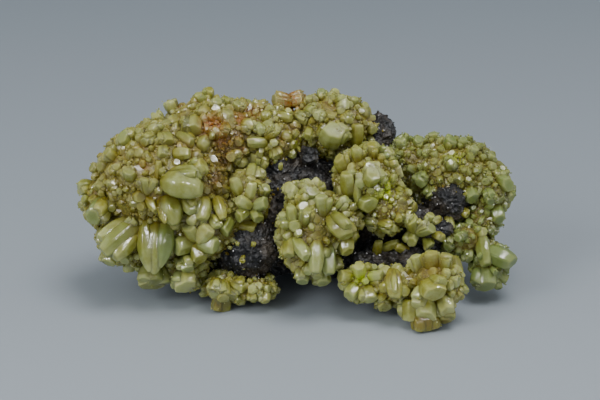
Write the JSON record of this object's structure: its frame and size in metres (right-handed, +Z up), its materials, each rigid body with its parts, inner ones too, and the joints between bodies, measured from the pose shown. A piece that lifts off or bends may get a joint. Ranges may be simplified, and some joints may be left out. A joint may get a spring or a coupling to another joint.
{
  "type": "pyromorphite specimen",
  "caption": "Mineral specimen: crusts of barrel-shaped hexagonal pyromorphite crystals on a dark, rough ironstone matrix, resting freely on a surface.",
  "frame": {"origin": "centre of the specimen's outline as seen from above, on the surface it rests on", "axes": "+X along the specimen's length to the right of its front, +Y away from the front, +Z up"},
  "size_m": [0.067, 0.0354, 0.0302],
  "materials": {
    "ironstone": "rough, black to dark brown, glinting with fine crystals",
    "pyromorphite": "waxy, olive yellow-green crystals",
    "green_pyromorphite": "waxy, darker green crystals"
  },
  "bodies": {
    "root": {"matrix": "ironstone", "left_crust": "pyromorphite", "low_crust": "pyromorphite", "centre_crust": "pyromorphite", "right_crust": "green_pyromorphite", "front_crust": "pyromorphite"}
  },
  "joints": []
}
